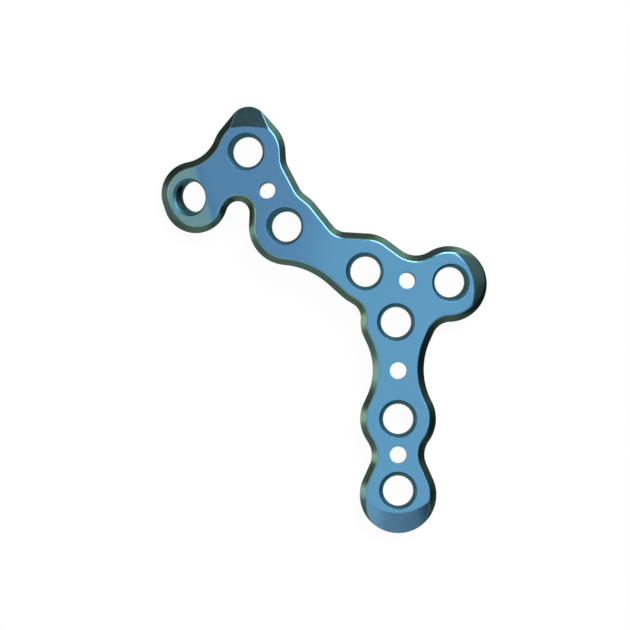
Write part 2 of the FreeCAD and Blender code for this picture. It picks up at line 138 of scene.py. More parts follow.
def lobe(radius, centre):
    """An arc with metal inside it."""
    return {"side": 1, "radius": radius, "centre": centre}


def hollow(radius, before=0.0, after=0.0):
    """An arc with metal outside it, and the straight flanks before and after it."""
    return {"side": -1, "radius": radius, "before": before, "after": after}


def notch(radius, arrive, depart):
    """A hollow between two flanks of known heading."""
    return {"side": -1, "radius": radius, "arrive": arrive, "depart": depart}


def hollow_pair(first, second, before, between, after, heading):
    """Two hollows in a row with a straight run between them."""
    return [{"side": -1, "radius": first, "before": before, "between": between, "heading": heading},
            {"side": -1, "radius": second, "after": after}]


turns = [
    lobe(2.35, plan("upper") + 3.15j),
    lobe(4.35, plan("upper")),
    hollow(4.45),
    lobe(3.85, plan("tab") - 0.4 + 0.35j),
    lobe(3.85, plan("tab") - 0.1 - 0.55j),
    notch(1.4, arrive=70.0, depart=-92.5),
    lobe(4.6, plan("shoulder")),
    hollow(9.1, after=2.4),
    lobe(4.1, plan("bridge")),
    hollow(1.85, before=0.8),
    lobe(4.25, plan("neck")),
    hollow(7.45, before=0.8, after=1.0),
    lobe(4.55, plan("middle")),
    hollow(2.8, before=0.6, after=1.9),
    lobe(4.6, plan("end") - 0.5j),
    hollow(2.7, before=2.05, after=0.4),
    lobe(4.55, plan("middle")),
    *hollow_pair(8.25, 2.25, before=0.0, between=1.1, after=0.0, heading=66.0),
    lobe(4.55, plan("wing") - 0.22j),
    hollow(2.95, after=1.95),
    lobe(4.6, plan("bridge")),
    hollow(2.0, before=2.75, after=3.35),
    lobe(4.35, plan("shoulder")),
    *hollow_pair(2.65, 2.2, before=0.7, between=2.85, after=1.1, heading=117.5),
    lobe(4.45, plan("upper")),
]
print("the outline has", len(turns), "round stretches")

# %% The centres of the hollows
def offset_centre(first, second, first_gap, second_gap):
    """The point at given distances from two points, to the right on the way between them."""
    way = second - first
    span = abs(way)
    along = (first_gap ** 2 - second_gap ** 2 + span ** 2) / (2 * span)
    return first + way / span * complex(along, -math.sqrt(first_gap ** 2 - along ** 2))


def between_flanks(turn, before, after):
    """Centre of a notch: where two lines cross that run beside its flanks, one radius away."""
    first = unit(turn["arrive"] - 90)
    second = unit(turn["depart"] - 90)
    levels = [(before["centre"] * first.conjugate()).real + before["radius"] + turn["radius"],
              (after["centre"] * second.conjugate()).real + after["radius"] + turn["radius"]]
    return complex(*np.linalg.solve([[first.real, first.imag], [second.real, second.imag]], levels))


def gap(turn, other, flank):
    """Distance between the centres of a lobe and a hollow with a straight flank between them."""
    return math.hypot(other["radius"] + turn["radius"], flank)


for index, turn in enumerate(turns):
    if "centre" in turn:
        continue
    before = turns[index - 1]
    after = turns[index + 1]
    if "arrive" in turn:
        turn["centre"] = between_flanks(turn, before, after)
    elif "heading" in turn:
        beyond = turns[index + 2]
        step = turn["between"] * unit(turn["heading"])
        step += (after["radius"] - turn["radius"]) * unit(turn["heading"] - 90)
        turn["centre"] = offset_centre(before["centre"], beyond["centre"] - step,
                                       gap(turn, before, turn["before"]),
                                       gap(after, beyond, after["after"]))
        after["centre"] = turn["centre"] + step
    else:
        turn["centre"] = offset_centre(before["centre"], after["centre"],
                                       gap(turn, before, turn["before"]),
                                       gap(turn, after, turn["after"]))

print("the tightest round is", min(turn["radius"] for turn in turns), "mm")

# %% [markdown]
# Walking round the outline, the heading grows on a lobe, falls on a hollow and holds on a flank.
# Laying these stretches end to end gives the outline as a function of the distance walked, sampled
# here at even steps.

# %% Points along the outline
OUTLINE_STEP = 0.14


def leaving_heading(turn, other):
    """Heading of the straight line that touches two round stretches."""
    way = other["centre"] - turn["centre"]
    shift = other["side"] * other["radius"] - turn["side"] * turn["radius"]
    straight = math.sqrt(max(abs(way) ** 2 - shift ** 2, 0.0))
    return np.angle(way) - math.atan2(shift, straight)


def walk_outline(step):
    """Points on the outline an even step apart, and the unit vectors from them into the metal.

    On an arc the heading has turned by the way walked over the radius, and the point lies one radius
    square to that heading from the centre. On a flank the heading holds, and the point is the arc's
    last one plus the way walked since.
    """
    leaves = np.array([leaving_heading(turn, turns[(k + 1) % len(turns)])
                       for k, turn in enumerate(turns)])
    enters = np.roll(leaves, 1)
    side = np.array([turn["side"] for turn in turns])
    radius = np.array([turn["radius"] for turn in turns])
    centre = np.array([turn["centre"] for turn in turns])
    swing = side * (leaves - enters) % math.tau
    first = centre - 1j * side * radius * np.exp(1j * enters)
    last = centre - 1j * side * radius * np.exp(1j * (enters + side * swing))
    flank = abs(np.roll(first, -1) - last)
    lengths = np.column_stack([swing * radius, flank]).ravel()
    ends = np.cumsum(lengths)
    walked = np.arange(round(ends[-1] / step)) * ends[-1] / round(ends[-1] / step)
    stretch = np.searchsorted(ends, walked, side="right")
    into = walked - (ends - lengths)[stretch]
    turn_of = stretch // 2
    on_arc = stretch % 2 == 0
    turned = np.where(on_arc, into / radius[turn_of], swing[turn_of])
    heading = enters[turn_of] + side[turn_of] * turned
    arc_point = centre[turn_of] - 1j * (side * radius)[turn_of] * np.exp(1j * heading)
    flank_point = last[turn_of] + into * np.exp(1j * heading)
    return np.where(on_arc, arc_point, flank_point), 1j * np.exp(1j * heading)


outline, inward = walk_outline(OUTLINE_STEP)
print("its length is", round(OUTLINE_STEP * len(outline), 1), "mm, in", len(outline), "points")

# %% [markdown]
# ## The bends
#
# The surgeon's plate follows the bone: its head, its tab and its short wing fall away from the leg.
# Each bend starts at a straight line, and its slope grows smoothly over a length, so the height is a
# plain function of the place in the drawing. The bone side lies one thickness below, measured square
# to the face.

# %% Height of the upper face and of the bone side
def eased(distance, length, slope):
    """Fall and local slope past a bend's line.

    The slope grows as 3t^2 - 2t^3 over the bend's length and then holds. The fall is its integral.
    """
    part = np.clip(distance / length, 0, 1)
    beyond = np.maximum(distance - length, 0)
    fall = slope * length * (part ** 3 - part ** 4 / 2) + slope * beyond
    return fall, slope * (3 * part ** 2 - 2 * part ** 3)


def bend_near(hole, ahead, heading, angle, length):
    """A bend whose line lies some way ahead of a hole, along its own heading downhill."""
    start = plan(hole) + ahead * unit(heading)
    return {"start": start, "heading": heading, "angle": angle, "length": length}


BENDS = {
    "body": bend_near("end", 4.0, heading=163.0, angle=9.8, length=19.0),
    "tab": bend_near("tab", -2.25, heading=198.5, angle=19.3, length=2.4),
    "wing": bend_near("wing", -4.85, heading=-15.0, angle=7.4, length=4.5),
}
WING_FADE_START = 15.0
WING_FADE_LENGTH = 6.0


def upper_face(place):
    """Height of the upper face at complex places, and its slope, which points downhill.

    The height is 0 less the fall of each bend. The wing's bend grows in along the leg.
    """
    growth = eased(place.imag - WING_FADE_START, WING_FADE_LENGTH, 1.0)[1]
    height = np.zeros(place.shape)
    downhill = np.zeros(place.shape, complex)
    for name, bend in BENDS.items():
        way = unit(bend["heading"])
        distance = ((place - bend["start"]) * way.conjugate()).real
        fall, slope = eased(distance, bend["length"], math.tan(math.radians(bend["angle"])))
        share = growth if name == "wing" else 1.0
        height -= share * fall
        downhill += share * slope * way
    return height, downhill


def bone_side(place):
    """Height of the face on the bone: the upper one's less THICKNESS sqrt(1 + slope^2)."""
    height, downhill = upper_face(place)
    return height - THICKNESS * np.sqrt(1 + abs(downhill) ** 2)


fall_at_tab = -upper_face(np.array([plan("tab")]))[0][0]
print("the tab's hole lies", round(fall_at_tab, 2), "mm below the leg's face")

# %% [markdown]
# ## Soft corners
#
# No milled edge is perfectly sharp. Where two faces meet, the height here is not the plain minimum
# of the two but one that turns over a short width, which is what catches the light as a fine bright
# line. A bevel runs round the upper edge, and four ramps thin the ends.

# %% Turned corners and directions about a hole
def turned_over(over, soft):
    """0 below zero, the value itself above, and the parabola (over + soft)^2 / (4 soft) between."""
    parabola = (np.clip(over, -soft, soft) + soft) ** 2 / (4 * soft)
    return np.where(over > soft, over, parabola)


def hole_axes(hole, heading=0.0):
    """Two unit vectors square to a hole's axis, the first towards a heading, as rows."""
    way = unit(heading)
    first = np.array([way.real, way.imag, 0.0])
    first = of_length_one(first - hole["axis"] * (first @ hole["axis"]))
    return np.array([first, np.cross(hole["axis"], first)])


print("where two faces cross, a turn of 0.12 mm takes off", turned_over(0.0, 0.12), "mm")

# %% The ramps
MOUTH_RADIUS = 2.28
RAMP_SLOPE = 20.0
RAMP_SPREAD = 60.0
RAMP_AHEAD = 0.5
CLEAR_OF_THE_PLATE = 9.0


def ramp_past(hole, heading, land=0.38, radius=5.4):
    """A ramp past a hole, by its heading, the land left at the mouth and its round line's radius."""
    return {"hole": hole, "heading": heading, "land": land, "radius": radius}


RAMPS = [
    ramp_past("end", -90.0),
    ramp_past("wing", 20.0),
    ramp_past("tab", 206.0),
    ramp_past("upper", 90.0, land=0.7, radius=12.2),
]


def ramp_frame(ramp):
    """The hole's axis, two directions square to it, the axis's top and the round line's centre."""
    hole = screw_holes[ramp["hole"]]
    across = hole_axes(hole, ramp["heading"])
    top = hole["foot"] + hole["axis"] * THICKNESS
    centre = top + across[0] * (MOUTH_RADIUS + ramp["land"] - ramp["radius"])
    return hole["axis"], across, top, centre


def ramp_height(ramp, place):
    """Height of a ramp: a cone about the hole's direction that leaves its plane in a round line.

    The cone falls by tan(slope) for each millimetre outside that line. The plane is tipped, so the
    height is found in five steps, each of which measures the distance from the cone's axis at the
    height found before. The ramp counts within RAMP_SPREAD of its heading, where the way ahead is
    over RAMP_AHEAD, the cosine of it, of that distance. Elsewhere it is put high above the plate.
    """
    axis, across, top, centre = ramp_frame(ramp)
    slope = math.tan(math.radians(RAMP_SLOPE))
    flat = np.stack([place.real - top[0], place.imag - top[1]], axis=-1)
    level = top[2] - flat @ axis[:2] / axis[2]
    height = level
    for _ in range(5):
        offset = np.stack([place.real, place.imag, height], axis=-1) - centre
        around = offset @ across.T
        distance = np.hypot(around[..., 0], around[..., 1])
        height = level + (ramp["radius"] - distance) * slope / axis[2]
    ahead = around[..., 0] > RAMP_AHEAD * distance
    return np.where(ahead, height, level + CLEAR_OF_THE_PLATE)


print("ramps:", len(RAMPS), "of", RAMP_SLOPE, "degrees")

# %% Height of the worked top
BEVEL = 0.76
BEVEL_SOFT = 0.12
RAMP_SOFT = 0.035
SIDE_SOFT = 0.03


def worked_top(place, edge_distance=None):
    """Height of the finished top. edge_distance is how far inside the outline a place lies.

    It is the upper face, less what the 45 degree bevel cuts off, less what each ramp cuts off what
    is left. At the side it turns down in a quarter circle.
    """
    height = upper_face(place)[0]
    if edge_distance is not None:
        height = height - turned_over(BEVEL - edge_distance, BEVEL_SOFT)
    for ramp in RAMPS:
        height = height - turned_over(height - ramp_height(ramp, place), RAMP_SOFT)
    if edge_distance is not None:
        near = np.clip(1 - edge_distance / SIDE_SOFT, 0, 1)
        height = height - SIDE_SOFT * (1 - np.sqrt(1 - near ** 2))
    return height


end_height = worked_top(np.array([plan("end") - 4.0j]))[0]
print("beyond the end hole the top lies", round(-end_height, 2), "mm lower")

# %% [markdown]
# ## The rim
#
# The rim is one profile carried along the outline: from the top face over the bevel, down the side
# and under the lower edge. Each point of the profile is given by its distance inside the outline.
# The rows crowd together where the profile turns, so that it stays smooth in close view.

# %% The rim as a grid: rows down the profile, columns along the outline
UNDER_SOFT = 0.34
TURNING_ROWS = 7
SLANT_ROWS = 12
QUARTER = np.radians([0, 18, 36, 54, 72, 90])


def rim_surface():
    """Points of the rim.

    On top, a point at distance d inside the outline has the height worked_top(d). Below, the lower
    edge is a quarter circle of radius UNDER_SOFT between the side and the bone side.
    """
    turning = np.linspace(BEVEL + BEVEL_SOFT, BEVEL - BEVEL_SOFT, TURNING_ROWS)
    slant = np.linspace(BEVEL - BEVEL_SOFT, SIDE_SOFT, SLANT_ROWS + 1)[1:]
    rolled = SIDE_SOFT * (1 - np.sin(QUARTER[1:]))
    over = np.concatenate([turning, slant, rolled])[:, None]
    top_place = outline + inward * over
    top_height = worked_top(top_place, np.broadcast_to(over, top_place.shape))
    quarter = QUARTER[:, None]
    under_place = outline + inward * (UNDER_SOFT * (1 - np.cos(quarter)))
    under_height = bone_side(under_place) + UNDER_SOFT * (1 - np.sin(quarter))
    halfway_height = (top_height[-1:] + under_height[:1]) / 2
    place = np.concatenate([top_place, outline[None], under_place])
    height = np.concatenate([top_height, halfway_height, under_height])
    return np.stack([place.real, place.imag, height], axis=-1)


rim = rim_surface()
print("rim:", rim.shape[0], "rows of", rim.shape[1], "points")

# %% [markdown]
# ## The holes
#
# Each hole is a profile turned about the hole's own axis: a fine bevel at the mouth, a slightly
# tapered seat for the screw's head and a short cylinder at the bone. The plate isn't quite flat
# round a hole, so the first row is lifted onto the real face, and that lift fades away down the wall.

# %% Profiles of the holes
SEAT_RADIUS = 2.0
LIP = 0.2


def rounded(corners, soft, steps=4):
    """A chain of points whose inner corners are cut by parabolas.

    Each starts and ends the length `soft` from its corner, and is the curve
    (1 - t)^2 start + 2t (1 - t) corner + t^2 end.
    """
    corners = np.array(corners, float)
    parts = [corners[:1]]
    share = np.linspace(0, 1, steps + 1)[:, None]
    for before, corner, after, reach in zip(corners, corners[1:], corners[2:], soft):
        start = corner + of_length_one(before - corner) * reach
        end = corner + of_length_one(after - corner) * reach
        parts.append((1 - share) ** 2 * start + 2 * share * (1 - share) * corner + share ** 2 * end)
    return np.concatenate([*parts, corners[-1:]])


mouth_depth = MOUTH_RADIUS - SEAT_RADIUS
SCREW_PROFILE = rounded([
    (MOUTH_RADIUS + LIP, THICKNESS), (MOUTH_RADIUS, THICKNESS),
    (SEAT_RADIUS, THICKNESS - mouth_depth), (BORE_RADIUS, BORE_LENGTH),
    (BORE_RADIUS, 0.0), (BORE_RADIUS + LIP, 0.0)], soft=[0.015, 0.06, 0.1, 0.12])


def wire_profile(radius):
    """A plain bore with the two ends of its wall turned over."""
    return rounded([(radius + LIP, THICKNESS), (radius, THICKNESS), (radius, 0.0), (radius + LIP, 0.0)],
                   soft=[0.04, 0.1])


print("a screw hole's profile has", len(SCREW_PROFILE), "points")

# %% The walls of the holes
SCREW_COLUMNS = 96
WIRE_COLUMNS = 64


def hole_surface(hole, profile, columns):
    """Points of a hole's wall: foot + radius (cos a, sin a) + rise axis, for each row and angle a.

    The ends are lifted onto the two faces, each in proportion to how near to it a row lies.
    """
    angle = np.arange(columns) * math.tau / columns
    across = hole_axes(hole)
    around = np.cos(angle)[:, None] * across[0] + np.sin(angle)[:, None] * across[1]
    radius, rise = profile[:, :1, None], profile[:, 1:, None]
    points = hole["foot"] + radius * around + rise * hole["axis"]
    place = points[..., 0] + 1j * points[..., 1]
    flat = (points[..., :2] - hole["foot"][:2]) @ hole["axis"][:2] / hole["axis"][2]
    lower = hole["foot"][2] - flat
    upper = lower + THICKNESS / hole["axis"][2]
    share = profile[:, 1:] / THICKNESS
    lift = share * (upper_face(place)[0] - upper) + (1 - share) * (bone_side(place) - lower)
    points[..., 2] += lift
    return points


def depth_share(profile, columns):
    """How deep the points of a wall lie: 1 - rise / THICKNESS, and 0 again where the wall ends."""
    depth = 1 - profile[:, 1] / THICKNESS
    depth[-1] = 0.0
    return np.repeat(depth, columns)


bores = [(hole, SCREW_PROFILE, SCREW_COLUMNS) for hole in screw_holes.values()]
bores += [(hole, wire_profile(hole["radius"]), WIRE_COLUMNS) for hole in wire_holes.values()]
walls = [hole_surface(hole, profile, columns) for hole, profile, columns in bores]
depths = np.concatenate([depth_share(profile, columns) for _, profile, columns in bores])
print(len(walls), "hole walls of", len(depths), "points")

# %% [markdown]
# ## The two faces
#
# What is left is the top face between the rim and the holes, and the same on the bone side. It is
# bounded by the first rows of those pieces, so it is filled with triangles between them, over an
# even field of points. Every point then gets its height from the same function as the rim, and the
# pieces meet without a step.

# %% A field of points
FIELD_STEP = 0.45
CLEARANCE = 0.1
EXTRA_CLEARANCE = 0.6 * FIELD_STEP
RAMP_LINE_STEP = 1.2
RAMP_LINE_OFFSETS = (-0.08, 0.0, 0.08)


def as_places(row):
    """The first two coordinates of points, as complex numbers."""
    return row[:, 0] + 1j * row[:, 1]


def field_points(border, rings, extra):
    """A field of points in rows, each shifted by half a step, that keeps clear of border and rings.

    The rows are a step times sqrt(3/4) apart, which makes the triangles even. The extra points
    replace the field's own near them.
    """
    rise = FIELD_STEP * math.sqrt(0.75)
    across = np.arange(border.real.min(), border.real.max(), FIELD_STEP)
    up = np.arange(border.imag.min(), border.imag.max(), rise)
    shift = (np.arange(len(up)) % 2)[:, None] * FIELD_STEP / 2
    field = (across[None] + shift + 1j * up[:, None]).ravel()
    if len(extra):
        field = field[abs(field[:, None] - extra[None]).min(axis=1) > EXTRA_CLEARANCE]
        field = np.concatenate([field, extra])
    nearest = abs(field[:, None] - border[None]).argmin(axis=1)
    inside = ((field - border[nearest]) * inward[nearest].conjugate()).real
    clear = inside > CLEARANCE
    for ring in rings:
        centre = ring.mean()
        clear &= abs(field - centre) > abs(ring - centre).max() + CLEARANCE
    return field[clear]


def ramp_lines():
    """Places along the round lines where the ramps start, and a little before and beyond each."""
    angle = np.radians(np.arange(-RAMP_SPREAD, RAMP_SPREAD, RAMP_LINE_STEP))[:, None]
    lines = []
    for ramp in RAMPS:
        _, across, _, centre = ramp_frame(ramp)
        for offset in RAMP_LINE_OFFSETS:
            around = np.cos(angle) * across[0] + np.sin(angle) * across[1]
            lines.append(as_places(centre + (ramp["radius"] + offset) * around))
    return np.concatenate(lines)


print("the ramps' lines add", len(ramp_lines()), "points")

# %% Filling a face
MERGE_DISTANCE = 1e-7


def fill_face(rows, extra):
    """Triangles between the border and the rings, where rows holds the border and then each ring.

    Triangles with all three corners on one ring lie in a hole and go. Those that turn clockwise are
    turned over.
    """
    field = field_points(rows[0], rows[1:], extra)
    places = np.concatenate([*rows, field])
    labels = np.concatenate([*(np.full(len(row), k) for k, row in enumerate(rows)),
                             np.full(len(field), -1)])
    edges = []
    start = 0
    for row in rows:
        index = start + np.arange(len(row))
        edges += np.column_stack([index, np.roll(index, -1)]).tolist()
        start += len(row)
    flat = [Vector((place.real, place.imag)) for place in places]
    _, _, triangles, originals, _, _ = delaunay_2d_cdt(flat, edges, [], 1, MERGE_DISTANCE)
    first = np.array([group[0] for group in originals])
    triangles = first[np.array(triangles)]
    owner = labels[triangles]
    in_hole = (owner[:, 0] == owner[:, 1]) & (owner[:, 1] == owner[:, 2]) & (owner[:, 0] > 0)
    triangles = triangles[~in_hole]
    corner = places[triangles]
    area = ((corner[:, 1] - corner[:, 0]).conjugate() * (corner[:, 2] - corner[:, 0])).imag
    triangles[area < 0] = triangles[area < 0][:, ::-1]
    return field, triangles


grids = [rim, *walls]
top_field, top_triangles = fill_face([as_places(grid[0]) for grid in grids], ramp_lines())
under_field, under_triangles = fill_face([as_places(grid[-1]) for grid in grids], np.array([]))
print("top face:", len(top_triangles), "triangles; bone side:", len(under_triangles))

# %% [markdown]
# ## One plate
#
# The rim, the twelve hole walls and the two faces share their border points, so the plate is one
# closed skin. Each point of a wall also carries how deep it lies, for the finish.

# %% Joining the pieces
def grid_faces(grid, start, flip):
    """Four-sided faces of a grid that closes on itself along its columns."""
    rows, columns = grid.shape[:2]
    index = start + np.arange(rows * columns).reshape(rows, columns)
    right = np.roll(index, -1, axis=1)
    faces = np.stack([index[:-1], index[1:], right[1:], right[:-1]], axis=-1).reshape(-1, 4)
    return faces[:, ::-1] if flip else faces


def with_height(places, heights):
    """Complex places and their heights as points."""
    return np.column_stack([places.real, places.imag, heights])


starts = np.cumsum([0, *(grid.shape[0] * grid.shape[1] for grid in grids)])
first_rows = [start + np.arange(grid.shape[1]) for grid, start in zip(grids, starts)]
last_rows = [start - grid.shape[1] + np.arange(grid.shape[1])
             for grid, start in zip(grids, starts[1:])]
top_numbers = np.concatenate([*first_rows, starts[-1] + np.arange(len(top_field))])
under_start = starts[-1] + len(top_field)
under_numbers = np.concatenate([*last_rows, under_start + np.arange(len(under_field))])
points = np.concatenate([*(grid.reshape(-1, 3) for grid in grids),
                         with_height(top_field, worked_top(top_field)),
                         with_height(under_field, bone_side(under_field))])
triangles = np.concatenate([top_numbers[top_triangles], under_numbers[under_triangles][:, ::-1]])
quads = np.concatenate([grid_faces(grid, start, grid is not rim)
                        for grid, start in zip(grids, starts)])
print("the plate has", len(points), "points and", 2 * len(quads) + len(triangles), "triangles")

# %% The plate's object
def make_mesh(name, points, quads, triangles):
    """A smooth mesh from points in metres and two arrays of faces."""
    corners = np.concatenate([quads.ravel(), triangles.ravel()])
    sizes = np.concatenate([np.full(len(quads), 4), np.full(len(triangles), 3)])
    mesh = bpy.data.meshes.new(name)
    mesh.vertices.add(len(points))
    mesh.vertices.foreach_set("co", points.astype(np.float32).ravel())
    mesh.loops.add(len(corners))
    mesh.loops.foreach_set("vertex_index", corners.astype(np.int32))
    mesh.polygons.add(len(sizes))
    mesh.polygons.foreach_set("loop_start", (np.cumsum(sizes) - sizes).astype(np.int32))
    mesh.polygons.foreach_set("use_smooth", np.ones(len(sizes), bool))
    mesh.update(calc_edges=True)
    mesh.validate()
    return mesh


plate = bpy.data.objects.new("bone_plate", make_mesh("bone_plate", to_part(points), quads, triangles))
down_the_hole = np.zeros(len(points), np.float32)
down_the_hole[starts[1]:starts[-1]] = depths
attribute = plate.data.attributes.new("down_the_hole", "FLOAT", "POINT")
attribute.data.foreach_set("value", down_the_hole)
bpy.context.scene.collection.objects.link(plate)
even = plate.modifiers.new("even_shading", "WEIGHTED_NORMAL")
even.mode = "FACE_AREA"
even.keep_sharp = False
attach(plate, "root")
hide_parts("plate")
print("the plate's mesh has", len(plate.data.polygons), "faces")

# %% [markdown]
# ## Anodised titanium
#
# The blue is no paint. A clear oxide film, thinner than a wavelength of light, colours the metal's
# reflection. Here the colour goes by each face's lean from the plate's own upright: blue on level
# faces, then teal and a dull, darker green on slanting ones. The turn to teal and green stands in for
# the film's own change of hue; the darkening of the slanting faces is painted shade. The film is
# never quite even, so the slanting faces wander a little between olive and navy.
# The walls of the holes have a teal of their own, which is painted shade inside the holes, darker at
# the lip and on the seat, and their mouths are the roughest.
#
# Shader nodes are small sums, so a class lets them be written as plain Python expressions.

# %% A small language for shader maths
class Socket:
    """A shader socket that can be used in plain Python expressions."""

    def __init__(self, tree, socket):
        self.tree = tree
        self.socket = socket

    def join(self, operation, *values):
        """A maths node over numbers and sockets."""
        return node(self.tree, "ShaderNodeMath", {"operation": operation}, dict(enumerate(values)))

    def magnitude(self):
        """The value without its sign."""
        return self.join("ABSOLUTE", self)

    def at_most(self, limit):
        """The value, or the limit where that is smaller."""
        return self.join("MINIMUM", self, limit)

    def __add__(self, other):
        return self.join("ADD", self, other)

    __radd__ = __add__

    def __sub__(self, other):
        return self.join("SUBTRACT", self, other)

    def __rsub__(self, other):
        return self.join("SUBTRACT", other, self)

    def __mul__(self, other):
        return self.join("MULTIPLY", self, other)

    __rmul__ = __mul__


def node(tree, kind, settings, inputs, output=0):
    """Adds a node with its settings and its sockets' values or links. Returns one of its outputs."""
    made = tree.nodes.new(kind)
    for name, value in settings.items():
        if name == "stops":
            set_stops(made.color_ramp, value)
        else:
            setattr(made, name, value)
    for name, value in inputs.items():
        if isinstance(value, Socket):
            tree.links.new(value.socket, made.inputs[name])
        else:
            made.inputs[name].default_value = value
    return Socket(tree, made.outputs[output]) if len(made.outputs) else None


def set_stops(ramp, stops):
    """Gives a colour ramp its stops, as pairs of a position and a colour."""
    while len(ramp.elements) < len(stops):
        ramp.elements.new(1.0)
    for element, (position, colour) in zip(ramp.elements, stops):
        element.position = position
        element.color = (*colour, 1.0)


def by_value(tree, value, stops):
    """A colour that goes by a value, through a colour ramp."""
    return node(tree, "ShaderNodeValToRGB", {"stops": stops}, {"Fac": value}, "Color")


def noise(tree, place, scale, detail):
    """A smooth noise from 0 to 1, with `scale` wanders in a metre."""
    return node(tree, "ShaderNodeTexNoise", {},
                {"Vector": place, "Scale": scale, "Detail": detail}, "Fac")


def blank_tree(owner):
    """The node tree of a material or a world, switched on and emptied."""
    owner.use_nodes = True
    owner.node_tree.nodes.clear()
    return owner.node_tree


# The Mix node's factor, its two colours and the colour it gives, by the numbers of their sockets.
MIX_FACTOR, MIX_FIRST, MIX_SECOND, MIX_RESULT = 0, 6, 7, 2


def multiplied(tree, factor, first, second):
    """The first colour, multiplied by the second one as far as the factor says."""
    return node(tree, "ShaderNodeMix", {"data_type": "RGBA", "blend_type": "MULTIPLY"},
                {MIX_FACTOR: factor, MIX_FIRST: first, MIX_SECOND: second}, MIX_RESULT)


def grey(level):
    """A colour without a hue."""
    return (level,) * 3


helpers = (node, by_value, noise, multiplied, blank_tree, grey)
print("shader helpers:", ", ".join(helper.__name__ for helper in helpers))

# %% The film on the outside
FACE_BLUE = (0.112, 0.314, 0.51)
HEAD_BLUE = (0.118, 0.302, 0.54)
BEND_BLUE = (0.108, 0.28, 0.5)
RAMP_BLUE = (0.12, 0.28, 0.45)
LEAN_TEAL = (0.142, 0.28, 0.31)
# The three greens are darker than the film alone: painted shade on bevels, steep faces and sides.
SHADED_BEVEL_GREEN = (0.053, 0.098, 0.085)
SHADED_STEEP_GREEN = (0.03, 0.056, 0.047)
SHADED_WALL_GREEN = (0.036, 0.066, 0.058)

# Each colour stands at the cosine of a surface's lean from the plate's own upright. The greens on
# steep faces are darkened as painted shade.
FILM_AND_SHADE_BY_LEAN = [
    (0.3, SHADED_WALL_GREEN), (0.55, SHADED_STEEP_GREEN), (0.68, SHADED_BEVEL_GREEN), (0.74, SHADED_BEVEL_GREEN),
    (0.83, LEAN_TEAL), (0.9, LEAN_TEAL), (0.94, RAMP_BLUE), (0.965, BEND_BLUE),
    (0.985, HEAD_BLUE), (0.994, FACE_BLUE)]
LEAN_WANDER = 0.01

FILM_OLIVE = (1.0, 0.98, 0.74)
FILM_MIDDLE = (0.96, 0.99, 0.92)
FILM_NAVY = (0.8, 0.93, 1.0)
FILM_TINTS = [(0.38, FILM_OLIVE), (0.5, FILM_MIDDLE), (0.62, FILM_NAVY)]
TINT_GROWTH = 3.0

CLOUD_SCALE = 160.0
FILM_SCALE = 260.0
GRAIN_SCALE = 9000.0
GRAIN_STRENGTH = 0.02
GRAIN_DEPTH = 0.00002
ROUGHNESS = 0.16
CLOUD_ROUGHNESS = 0.05


def film_finish(tree):
    """Metal whose colour goes by its lean, darkened by painted shade on the slanting faces, and tinted
    by a noise that a level face doesn't show.
    """
    place = node(tree, "ShaderNodeTexCoord", {}, {}, "Object")
    normal = node(tree, "ShaderNodeTexCoord", {}, {}, "Normal")
    upright = node(tree, "ShaderNodeVectorMath", {"operation": "DOT_PRODUCT"},
                   {0: normal, 1: tuple(drawing_axes[:, 2])}, "Value").magnitude()
    clouds = noise(tree, place, CLOUD_SCALE, 2.0)
    by_lean = by_value(tree, upright + LEAN_WANDER * (clouds - 0.5), FILM_AND_SHADE_BY_LEAN)
    tint = by_value(tree, noise(tree, place, FILM_SCALE, 1.0), FILM_TINTS)
    tinted = (TINT_GROWTH - TINT_GROWTH * upright).at_most(1.0)
    colour = multiplied(tree, tinted, by_lean, tint)
    grain = noise(tree, place, GRAIN_SCALE, 3.0)
    bump = node(tree, "ShaderNodeBump", {},
                {"Strength": GRAIN_STRENGTH, "Distance": GRAIN_DEPTH, "Height": grain})
    return node(tree, "ShaderNodeBsdfPrincipled", {}, {
        "Base Color": colour, "Metallic": 1.0, "Normal": bump,
        "Roughness": ROUGHNESS + CLOUD_ROUGHNESS * clouds})


print("the film has", len(FILM_AND_SHADE_BY_LEAN), "colours by lean and", len(FILM_TINTS), "tints")

# %% The walls of the holes and the whole finish
# The teals of the hole walls are painted shade inside the holes, darker at the lip and on the seat.
SHADED_LIP_TEAL = (0.04, 0.13, 0.2)
SHADED_MOUTH_TEAL = (0.08, 0.17, 0.22)
SHADED_SEAT_TEAL = (0.055, 0.1, 0.09)
EDGE_TINT = (0.36, 0.46, 0.5, 1.0)
MOUTH_ROUGHNESS = 0.5
SEAT_ROUGHNESS = 0.24

# Where each colour stands, as a share of the way down a hole.
LIP_END = 0.06
MOUTH_END = 0.13
SEAT_START = 0.17
WALL_SHARPNESS = 300.0


def cut_finish(tree, deep):
    """Metal in the holes in a teal of painted shade, darker at the lip and on the seat than at the
    mouth. Dull at the mouth of a hole and smoother on its seat. deep is the share down.
    """
    colour = by_value(tree, deep, [
        (LIP_END, SHADED_LIP_TEAL), (MOUTH_END, SHADED_MOUTH_TEAL), (SEAT_START, SHADED_SEAT_TEAL)])
    rough = by_value(tree, deep, [
        (MOUTH_END, grey(MOUTH_ROUGHNESS)), (SEAT_START, grey(SEAT_ROUGHNESS))])
    return node(tree, "ShaderNodeBsdfPrincipled", {}, {
        "Base Color": colour, "Metallic": 1.0, "Roughness": rough, "Specular Tint": EDGE_TINT})


def anodised_titanium():
    """The film outside and the walls of the holes, whose teal is painted shade, parted where the walls
    start.
    """
    material = bpy.data.materials.new("anodised_titanium")
    tree = blank_tree(material)
    deep = node(tree, "ShaderNodeAttribute", {"attribute_name": "down_the_hole"}, {}, "Fac")
    in_a_hole = (WALL_SHARPNESS * deep).at_most(1.0)
    shader = node(tree, "ShaderNodeMixShader", {},
                  {0: in_a_hole, 1: film_finish(tree), 2: cut_finish(tree, deep)})
    node(tree, "ShaderNodeOutputMaterial", {}, {"Surface": shader})
    return material


